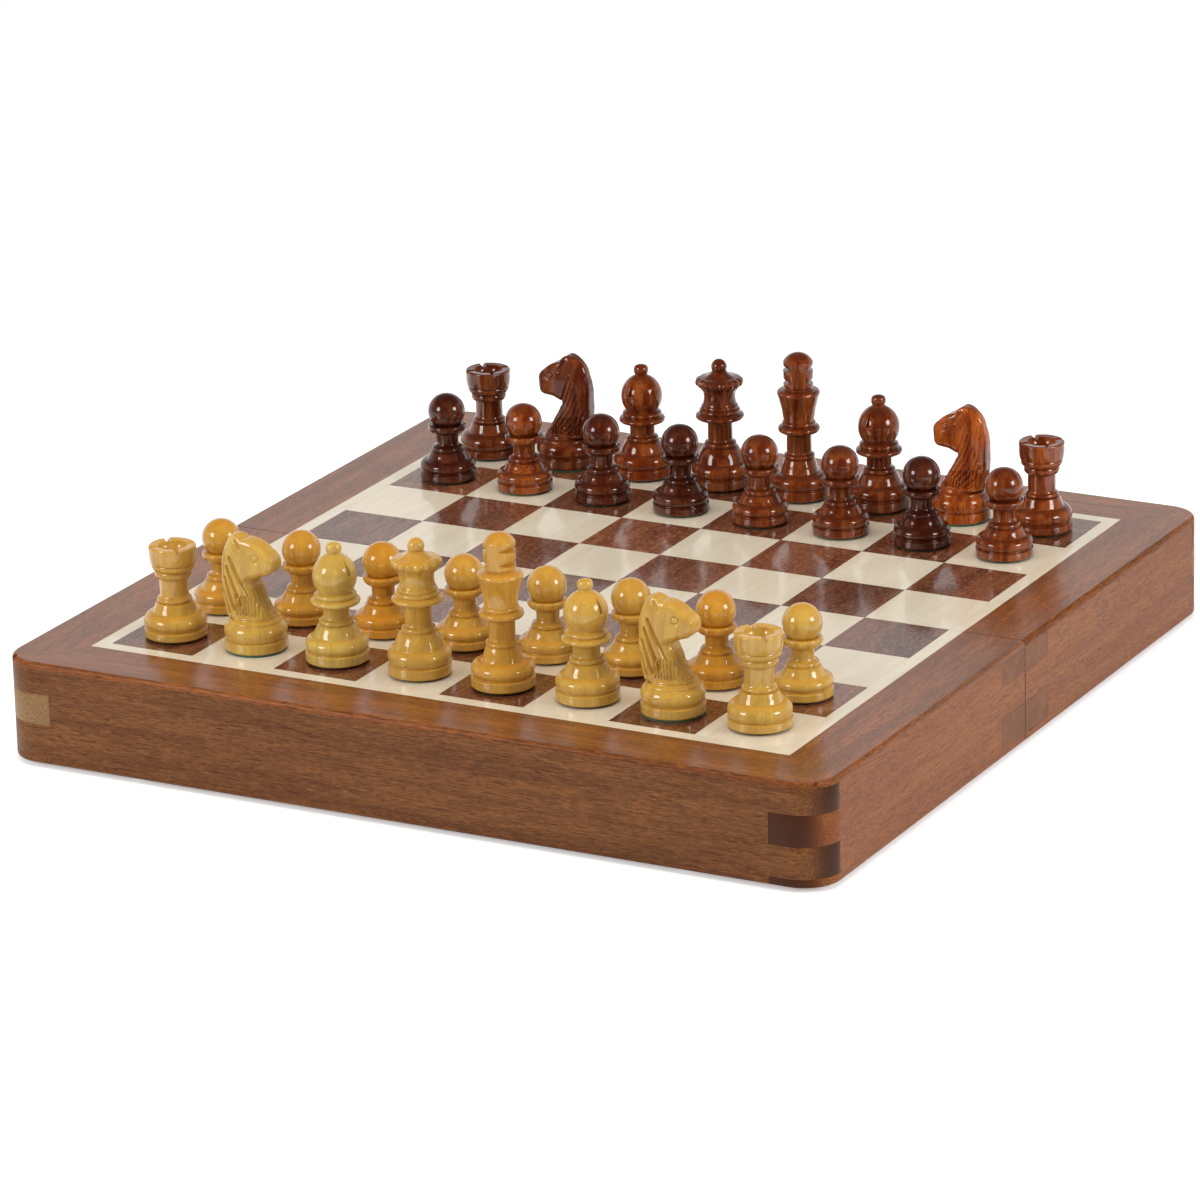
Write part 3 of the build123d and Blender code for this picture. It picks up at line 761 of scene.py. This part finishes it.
def bishop_model(height, men):
    r, mitre, knob = NECK, 6.15, 2.2
    base = foot(OFFICER_RADIUS, 2.9, (r + 3.3, 7.7)) + [
        (r + 2.9, 7.75), (r + 2.7, 8.0), ((r + 2.2, 9.4), (r + 1.3, 11.0)), (r + 0.8, 11.1),
        bead(r + 1.1, 11.2, 11.2 + RING), ((r + 0.15, 12.8), (r, 13.6))]
    middle = [
        (r, -4.3), (mitre + 0.2, -3.2), ((mitre + 0.7, -2.5), (mitre, -1.7)), (mitre - 0.6, -1.4),
        bead(mitre - 0.3, -1.4, 0), (mitre - 1.4, 0.5)]
    top = [
        ((mitre, -9.2), (knob - 0.1, -3.4)), (knob - 0.4, -3.0), ((knob, -1.6), (knob - 0.4, -0.5)),
        dome((knob - 0.4, -0.5), 0)]
    piece = turned("bishop_model", base + raised(height, raised(-14.3, middle) + top), men.segments)
    turn = Matrix.Rotation(math.radians(-18), 4, "Z")
    lean = turn @ Matrix.Rotation(math.radians(118), 4, "Y")
    slit_size = 1.1, 4.0, 4.4
    place = turn @ Vector((mitre - 1.1, 0, height - 6.3))
    cut(piece, wedge(*slit_size, place, lean))
    return piece


def rook_model(height, men):
    r, crown, well, deep = NECK + 0.35, 6.65, 4.1, 3.4
    base = foot(OFFICER_RADIUS, 2.3, (r + 2.7, 7.5)) + [
        (r + 2.3, 7.55), (r + 2.1, 7.8), ((r + 1.7, 9.0), (r + 1.2, 10.3)), (r + 0.5, 10.45),
        bead(r + 0.8, 10.5, 10.5 + RING), ((r + 0.15, 12.1), (r, 12.9))]
    middle = [
        (r, -4.6), ((r + 1.1, -3.6), (r + 0.8, -2.2)), (r + 1.2, -2.1), ((r + 2.0, -1.2), (r + 1.8, 0)),
        (crown - 0.3, 0.1), ((crown - 0.1, 1.2), (crown, 2.4))]
    top = [
        (crown, -0.6), ((crown - 0.12, -0.15), (crown - 0.6, 0)), (well + 0.25, -0.08), (well - 0.1, -0.4),
        ((0.8 * well, -0.7 * deep), (0.4 * well, -deep)), (0, -deep - 0.2)]
    piece = turned("rook_model", base + raised(height, raised(-5.0, middle) + top), men.segments)
    notch_size = 3.4, 2.5, 30
    for turn in (45, 135):
        across = Matrix.Rotation(math.radians(turn), 4, "Z")
        cut(piece, wedge(*notch_size, (0, 0, height - 0.05), across))
    return piece


def pawn_model(height, men):
    r, ball = 3.2, 5.5
    under = ball_foot(ball, 0.7)
    base = foot(PAWN_RADIUS, 2.3, (r + 3.2, 6.4)) + [
        (r + 3.0, 6.45), (r + 2.8, 6.7), ((r + 2.3, 7.8), (r + 1.7, 8.9)), (r + 1.2, 9.0),
        bead(r + 1.4, 9.1, 9.1 + RING), ((r + 0.15, 11.0), (r, 11.8))]
    collar = [
        (r + 0.1, 0), ((ball - 0.7, 0.5), (ball + 0.05, 1.6)), (ball + 0.05, 2.1),
        ((ball - 0.1, 2.6), (ball - 0.7, 2.8)), (under[0] + 0.15, 2.85)]
    top = [under, dome(under, 0)]
    return turned("pawn_model", base + raised(height, raised(-12.1, collar) + top), men.segments)


# ---------------- the knight
HEAD_FOOT = 9.9
SKIRT_FOOT = 10.9


def knight_outline(top, drooping):
    """Side view of the horse, facing +X. The drooping head has a sloping brow, the other a blunt muzzle."""
    if drooping:
        head = [
            ((3.0, -19.8), (1.3, -15.4)), ((1.0, -14.5), (1.7, -13.7)), (3.6, -12.8), (5.8, -12.0),
            ((7.3, -10.6), (7.5, -8.8)), ((7.1, -7.2), (5.6, -5.8)), ((2.0, -3.4), (-2.2, -2.7)),
            ((-3.3, -1.8), (-4.7, -1.5)), ((-6.2, -2.2), (-7.1, -3.4)), ((-8.8, -7.6), (-9.2, -12.6))]
    else:
        head = [
            ((3.0, -20.4), (0.1, -15.2)), ((-0.2, -14.5), (0.3, -13.9)), (2.2, -12.9), (4.8, -12.6),
            ((6.4, -12.0), (7.0, -10.4)), (7.3, -7.4), ((6.9, -6.0), (5.8, -5.0)),
            ((3.4, -3.1), (1.2, -2.3)), (0.4, -2.0), ((-0.8, -0.5), (-2.2, 0)),
            ((-6.2, -1.8), (-8.2, -6.0)), ((-9.1, -9.8), (-9.1, -13.4))]
    neck = [((-8.9, 16.0), (-8.2, 12.8)), (-7.7, 10.6), (-7.6, HEAD_FOOT)]
    return [(5.3, HEAD_FOOT), (5.3, 10.7)] + raised(top, head) + neck


def stroke_distance(x, z, points):
    """Distance of every (x, z) from a line through points."""
    nearest = np.full(x.shape, np.inf)
    for (ax, az), (bx, bz) in zip(points[:-1], points[1:]):
        dx, dz = bx - ax, bz - az
        share = np.clip(((x - ax) * dx + (z - az) * dz) / (dx * dx + dz * dz), 0, 1)
        nearest = np.minimum(nearest, np.hypot(x - ax - share * dx, z - az - share * dz))
    return nearest


def knight_strokes(top, drooping):
    """Carved lines: (points, width, depth). The drooping head has deep mane locks, the other fine hair."""
    if drooping:
        mane = [
            [(-5.6, -8.0), (0.2, -18.4)], [(-6.5, -10.8), (-1.6, -21.0)], [(-7.2, -14.0), (-3.5, -22.4)],
            [(-7.7, -18.0), (-5.4, -23.2)]]
        width, depth, first = 0.42, 1.1, -2.6
        (eye_x, eye_z), ear = (2.6, -7.3), [(-2.4, -5.0), (-4.0, -3.0)]
    else:
        mane = [[(-3.4 - 0.75 * i, -6.0 - 1.9 * i), (-1.6 - 0.8 * i, -12.0 - 1.5 * i),
                 (2.2 - 0.9 * i, -18.5 - 0.9 * i)] for i in range(7)]
        width, depth, first = 0.26, 0.5, -6.4
        (eye_x, eye_z), ear = (3.4, -6.3), [(0.4, -4.4), (-1.4, -1.8)]
    ring = [(eye_x + 1.15 * math.cos(a), eye_z + 0.95 * math.sin(a)) for a in np.linspace(0, math.tau, 17)]
    mouth = [(7.4, -10.4), (5.6, -10.7)]
    head = [(points, width, depth) for points in mane] + [
        (ring, 0.24, 0.45), (ear, 0.35, 0.55), (mouth, 0.2, 0.25)]
    skirt = [first + 0.92 * index for index in range(13)]
    return [(raised(top, points), width, depth) for points, width, depth in head] + [
        ([(x - 0.6, 16.4 - 0.15 * index), (x, SKIRT_FOOT)], 0.24, 0.75) for index, x in enumerate(skirt)]


def carve_head(piece, top, drooping):
    """Tapers the blank of the head, eases its edges and carves its lines."""
    places = np.empty(len(piece.data.vertices) * 3)
    piece.data.vertices.foreach_get("co", places)
    places = places.reshape(-1, 3) / MM
    x, y, z = places.T
    rim = stroke_distance(x, z, traced(knight_outline(top, drooping)))
    # Half as thick as the head is: full at the neck's foot, thinner at the crest, the muzzle and the mane.
    half_width = np.interp(z, (HEAD_FOOT, 14.2, top - 7.6, top), (5.1, 5.1, 3.7, 2.4))
    half_width -= 0.5 * np.clip((x - 1.0) / 6.0, 0, 1) * (z > top - 14)
    half_width -= 0.9 * np.clip((-5.0 - x) / 5.0, 0, 1)
    # The edges are rounded over a wider band at the neck and the mane than round the face.
    neck = np.maximum(np.clip((top - 10.5 - z) / 4.0, 0, 1), np.clip((-2.5 - x) / 3.0, 0, 1))
    edge = np.clip(rim / (1.4 + 2.2 * neck), 0, 1)
    low = 0.76 - 0.42 * neck
    swell = low + (1 - low) * np.sqrt(1 - (1 - edge) ** 2)
    side = y / np.abs(y).max()
    new_y = side * half_width * swell
    flat = np.clip((np.abs(side) - 0.6) / 0.3, 0, 1)
    for points, width, depth in knight_strokes(top, drooping):
        distance = stroke_distance(x, z, points)
        new_y -= np.sign(side) * flat * depth * np.exp(-(distance / width) ** 2)
    # Upright strands across the front of the chest.
    strand, strand_depth = 1.4, 0.16
    chest = np.clip(1.4 - rim, 0, 1) * (x > -1.0) * (z < top - 16.5) * (z > SKIRT_FOOT)
    places[:, 0] -= strand_depth * chest * (1 + np.cos(math.tau * new_y / strand))
    places[:, 1] = new_y
    piece.data.vertices.foreach_set("co", (places * MM).ravel())
    piece.data.update()


def knight_model(height, men, drooping=True):
    points = traced(knight_outline(height, drooping))
    deselect()
    bpy.ops.mesh.primitive_circle_add(vertices=len(points), radius=1, fill_type="NGON")
    head = bpy.context.object
    blank = 5.0
    for vertex, (x, z) in zip(head.data.vertices, points):
        vertex.co = Vector((x, -blank, z)) * MM
    edit(head)
    bpy.ops.mesh.extrude_region_move(TRANSFORM_OT_translate={"value": (0, 2 * blank * MM, 0)})
    leave_edit()
    finish_mesh(head)
    modify(head, "REMESH", mode="VOXEL", voxel_size=men.carving)
    carve_head(head, height, drooping)
    modify(head, "SMOOTH", factor=0.5, iterations=2)
    base = foot(OFFICER_RADIUS, 2.9, (7.5, 8.4)) + [
        ((7.3, 9.0), (6.7, 9.3)), ((6.3, 9.5), (6.2, 10.0)), (6.0, 10.4), (0, 10.4)]
    piece = turned("knight_model", base, men.segments)
    pick(piece, head)
    bpy.ops.object.join()
    return piece


# ---------------- setting the men out
def men_material(colour, men):
    """The wood of this colour's men, made when it is first asked for."""
    if colour == "light":
        look = ("turned_boxwood", men.boxwood_pale, men.boxwood_warm, 0.24, 0.35, 0.75, (0.88, 0.72, 0.45))
    else:
        look = ("turned_rosewood", men.rosewood_deep, men.rosewood_warm, 0.78, 0.85, 0.85, (0.3, 0.22, 0.2))
    return bpy.data.materials.get(look[0]) or billet(*look)


def set_out(kind, models, men):
    """A copy of its colour's model, and of the felt, on each of this kind's squares."""
    name = "green_felt"
    green = bpy.data.materials.get(name) or felt(name, (0.015, 0.075, 0.035), (0.05, 0.16, 0.07))
    knight_felt_margin, felt_edge = 0.3, 0.15
    felt_radius = PAWN_RADIUS if kind == "pawn" else OFFICER_RADIUS
    felt_radius -= knight_felt_margin if kind == "knight" else men.felt_margin / MM
    thick = men.felt_thickness / MM
    rounded = [(felt_radius - felt_edge, 0), (felt_radius, felt_edge), (felt_radius, thick), (0, thick)]
    pad = turned(f"{kind}_felt", rounded, men.segments)
    # The dark men face the light ones, and some kinds stand turned a little further.
    turns = {"light": 0, "dark": math.pi + math.radians({"bishop": 100, "king": 28}.get(kind, 0))}
    for colour, turn in turns.items():
        rank, warmth = ROWS[colour, "pawn" if kind == "pawn" else "officer"]
        for index, letter in enumerate(FILES):
            node_name = f"{colour}_{kind}_{letter}{rank}"
            if node_name not in frame["nodes"]:
                continue
            ahead = rank - len(FILES) / 2 - 0.5
            place = Vector((PLAY_EDGE + (index + 0.5) * SQUARE, ahead * SQUARE, BOARD_TOP))
            man = own_copy(models[colour], f"{node_name}_turned")
            foot_felt = own_copy(pad, f"{node_name}_turned_felt")
            for piece in (man, foot_felt):
                piece.matrix_world = Matrix.Translation(place) @ Matrix.Rotation(turn, 4, "Z")
                settle(piece)
            level = man.data.attributes.new("warmth", "FLOAT", "POINT")
            level.data.foreach_set("value", [warmth[index]] * len(man.data.vertices))
            dress(man, men_material(colour, men), node_name)
            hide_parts(node_name)
            dress(foot_felt, green, node_name)
    for source in dict.fromkeys([*models.values(), pad]):
        bpy.data.objects.remove(source)


def make_men(kind, model_of, context):
    men = context.scene.chess_men
    first = next(name for name in frame["nodes"] if f"_{kind}_" in name)
    height = (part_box(first)[1].z - BOARD_TOP) / MM
    models = {"light": model_of(height, men)}
    models["dark"] = model_of(height, men, False) if kind == "knight" else models["light"]
    for model in dict.fromkeys(models.values()):
        soften(model, men.edge, angle=24)
        finish_mesh(model, smooth_angle=32)
    set_out(kind, models, men)


class CHESSBOX_OT_kings(Undoable, bpy.types.Operator):
    """Kings: cup, collar rings and a notched finial"""
    bl_idname = "chessbox.kings"
    bl_label = "Kings"

    def execute(self, context):
        make_men("king", king_model, context)
        return {"FINISHED"}


class CHESSBOX_OT_queens(Undoable, bpy.types.Operator):
    """Queens: fluted crown with a small ball"""
    bl_idname = "chessbox.queens"
    bl_label = "Queens"

    def execute(self, context):
        make_men("queen", queen_model, context)
        return {"FINISHED"}


class CHESSBOX_OT_bishops(Undoable, bpy.types.Operator):
    """Bishops: round mitre with its slit and knob"""
    bl_idname = "chessbox.bishops"
    bl_label = "Bishops"

    def execute(self, context):
        make_men("bishop", bishop_model, context)
        return {"FINISHED"}


class CHESSBOX_OT_knights(Undoable, bpy.types.Operator):
    """Knights: carved horse's head on a turned base"""
    bl_idname = "chessbox.knights"
    bl_label = "Knights"

    def execute(self, context):
        make_men("knight", knight_model, context)
        return {"FINISHED"}


class CHESSBOX_OT_rooks(Undoable, bpy.types.Operator):
    """Rooks: hollow crown with four notches"""
    bl_idname = "chessbox.rooks"
    bl_label = "Rooks"

    def execute(self, context):
        make_men("rook", rook_model, context)
        return {"FINISHED"}


class CHESSBOX_OT_pawns(Undoable, bpy.types.Operator):
    """Pawns: stepped base, collar and ball"""
    bl_idname = "chessbox.pawns"
    bl_label = "Pawns"

    def execute(self, context):
        make_men("pawn", pawn_model, context)
        return {"FINISHED"}


# ---------------- stage
def white_floor(radius):
    """Plain white floor that shows the shadow near the box and fades to pure white round it."""
    material, surface, place = new_material("white_floor")
    nodes = place.id_data.nodes
    nodes.remove(surface)
    distance = add("ShaderNodeVectorMath", {0: place}, operation="LENGTH").outputs[1]
    grain = streaks(place, X, 40, 30, 2.0)
    paper = mixed(between(grain, 0.3, 0.7), (0.86, 0.86, 0.86), (0.88, 0.88, 0.88))
    diffuse = add("ShaderNodeBsdfDiffuse", {0: paper})
    glow, white = nodes.new("ShaderNodeEmission"), nodes.new("ShaderNodeEmission")
    feed(glow, {0: (1, 1, 1, 1), 1: 0.4})
    feed(white, {0: (1, 1, 1, 1), 1: 1.0})
    lit = add("ShaderNodeAddShader", {0: diffuse.outputs[0], 1: glow.outputs[0]})
    fade = between(distance, radius, 2.2 * radius)
    seen = add("ShaderNodeMixShader", {0: fade, 1: lit.outputs[0], 2: white.outputs[0]})
    path = nodes.new("ShaderNodeLightPath")
    shown = math_node("MAXIMUM", path.outputs["Is Camera Ray"], path.outputs["Is Glossy Ray"])
    final = add("ShaderNodeMixShader", {0: shown, 1: diffuse.outputs[0], 2: seen.outputs[0]})
    feed(nodes["Material Output"], {"Surface": final.outputs[0]})
    return material


def studio_world(azimuth):
    """White behind the box and overhead, dark in front of it."""
    world = bpy.data.worlds.new("studio")
    bpy.context.scene.world = world
    world.use_nodes = True
    nodes = world.node_tree.nodes
    view = nodes.new("ShaderNodeTexCoord").outputs["Generated"]
    up = component(view, Z)
    away = (-math.sin(azimuth), math.cos(azimuth), 0.0)
    behind = add("ShaderNodeVectorMath", {0: view, 1: away}, operation="DOT_PRODUCT").outputs["Value"]
    level = between(up, 0.25, 0.8, 1.0, 0.45)
    ahead = between(behind, -0.25, 0.55, 0.12, 1.0)
    shade = between(up, 0.35, 0.75)
    level = times(level, math_node("MAXIMUM", ahead, shade))
    path = nodes.new("ShaderNodeLightPath")
    mirrored = times(between(up, 0.28, 0.6, 0.78, 0.1), ahead)
    level = add("ShaderNodeMix", {0: path.outputs["Is Glossy Ray"], 2: level, 3: mirrored}).outputs[0]
    level = math_node("MAXIMUM", level, path.outputs["Is Camera Ray"])
    feed(nodes["Background"], {"Color": (1, 1, 1, 1), "Strength": level})


def direction(azimuth, elevation):
    """From the box outwards; azimuth 0 is straight in front."""
    return Vector((math.sin(azimuth) * math.cos(elevation), -math.cos(azimuth) * math.cos(elevation),
                   math.sin(elevation)))


def new_object(name, data):
    holder = bpy.data.objects.new(name, data)
    bpy.context.scene.collection.objects.link(holder)
    return holder


def softbox(name, azimuth, elevation, distance, size, level, aim):
    """Square area lamp; level is the light it gives a white surface that faces it."""
    lamp = bpy.data.lights.new(name, "AREA")
    lamp.shape = "SQUARE"
    lamp.size = size
    lamp.energy = level * math.pi ** 2 * distance ** 2
    holder = new_object(name, lamp)
    away = direction(azimuth, elevation)
    holder.location = aim + away * distance
    holder.rotation_euler = away.to_track_quat("Z", "Y").to_euler()
    return holder


class CHESSBOX_OT_stage(Undoable, bpy.types.Operator):
    """White floor, studio light and the camera"""
    bl_idname = "chessbox.stage"
    bl_label = "Stage"

    def execute(self, context):
        stage = context.scene.chess_stage
        deselect()
        bpy.ops.mesh.primitive_circle_add(vertices=96, radius=stage.floor_radius, fill_type="NGON")
        floor = context.object
        floor.name = "floor"
        floor.data.materials.append(white_floor(stage.shadow_radius))
        studio_world(stage.azimuth)
        aim = Vector((0, 0, BOARD_TOP))
        side, low, high = (math.radians(angle) for angle in (60, 23, 80))
        distance, size, top_distance, top_size = 1.3, 0.42, 1.4, 0.9
        softbox("right_softbox", stage.azimuth + side, low, distance, size, stage.key_level, aim)
        softbox("left_softbox", stage.azimuth - side, low, distance, size, stage.fill_level, aim)
        top = softbox("top_softbox", stage.azimuth, high, top_distance, top_size, stage.top_level, aim)
        top.visible_glossy = False
        camera = bpy.data.cameras.new("camera")
        camera.sensor_width = 36
        camera.lens = stage.lens
        camera.clip_end = 20
        holder = new_object("camera", camera)
        back = direction(stage.azimuth, stage.elevation)
        right = Vector((math.cos(stage.azimuth), math.sin(stage.azimuth), 0))
        up = back.cross(right)
        leaned_right = math.cos(stage.roll) * right + math.sin(stage.roll) * up
        leaned_up = math.cos(stage.roll) * up - math.sin(stage.roll) * right
        holder.matrix_world = Matrix.Translation(Vector(stage.look_at) + back * stage.distance) @ Matrix(
            (leaned_right, leaned_up, back)).transposed().to_4x4()
        context.scene.camera = holder
        context.scene.view_settings.view_transform = "Standard"
        return {"FINISHED"}


OPERATORS = (
    CHESSBOX_OT_walls, CHESSBOX_OT_borders, CHESSBOX_OT_squares, CHESSBOX_OT_inside, CHESSBOX_OT_hardware,
    CHESSBOX_OT_kings, CHESSBOX_OT_queens, CHESSBOX_OT_bishops, CHESSBOX_OT_knights, CHESSBOX_OT_rooks,
    CHESSBOX_OT_pawns, CHESSBOX_OT_stage)
SETTINGS = {"chess_box": BoxSettings, "chess_men": MenSettings, "chess_stage": StageSettings}


class CHESSBOX_PT_panel(bpy.types.Panel):
    """Lists the pieces of the chess box"""
    bl_idname = "CHESSBOX_PT_panel"
    bl_label = "Chess box"
    bl_space_type = "VIEW_3D"
    bl_region_type = "UI"
    bl_category = "Chess box"

    def draw(self, context):
        for group in SETTINGS:
            settings = getattr(context.scene, group)
            for name in settings.__annotations__:
                self.layout.prop(settings, name)
        for operator in OPERATORS:
            self.layout.operator(operator.bl_idname)


def register():
    for name, group in SETTINGS.items():
        bpy.utils.register_class(group)
        setattr(bpy.types.Scene, name, PointerProperty(type=group))
    for operator in OPERATORS:
        bpy.utils.register_class(operator)
    bpy.utils.register_class(CHESSBOX_PT_panel)


def unregister():
    bpy.utils.unregister_class(CHESSBOX_PT_panel)
    for operator in reversed(OPERATORS):
        bpy.utils.unregister_class(operator)
    for name, group in SETTINGS.items():
        delattr(bpy.types.Scene, name)
        bpy.utils.unregister_class(group)


def main():
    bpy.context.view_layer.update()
    register()
    for operator in OPERATORS:
        group, action = operator.bl_idname.split(".")
        getattr(getattr(bpy.ops, group), action)()


if __name__ == "__main__":
    main()
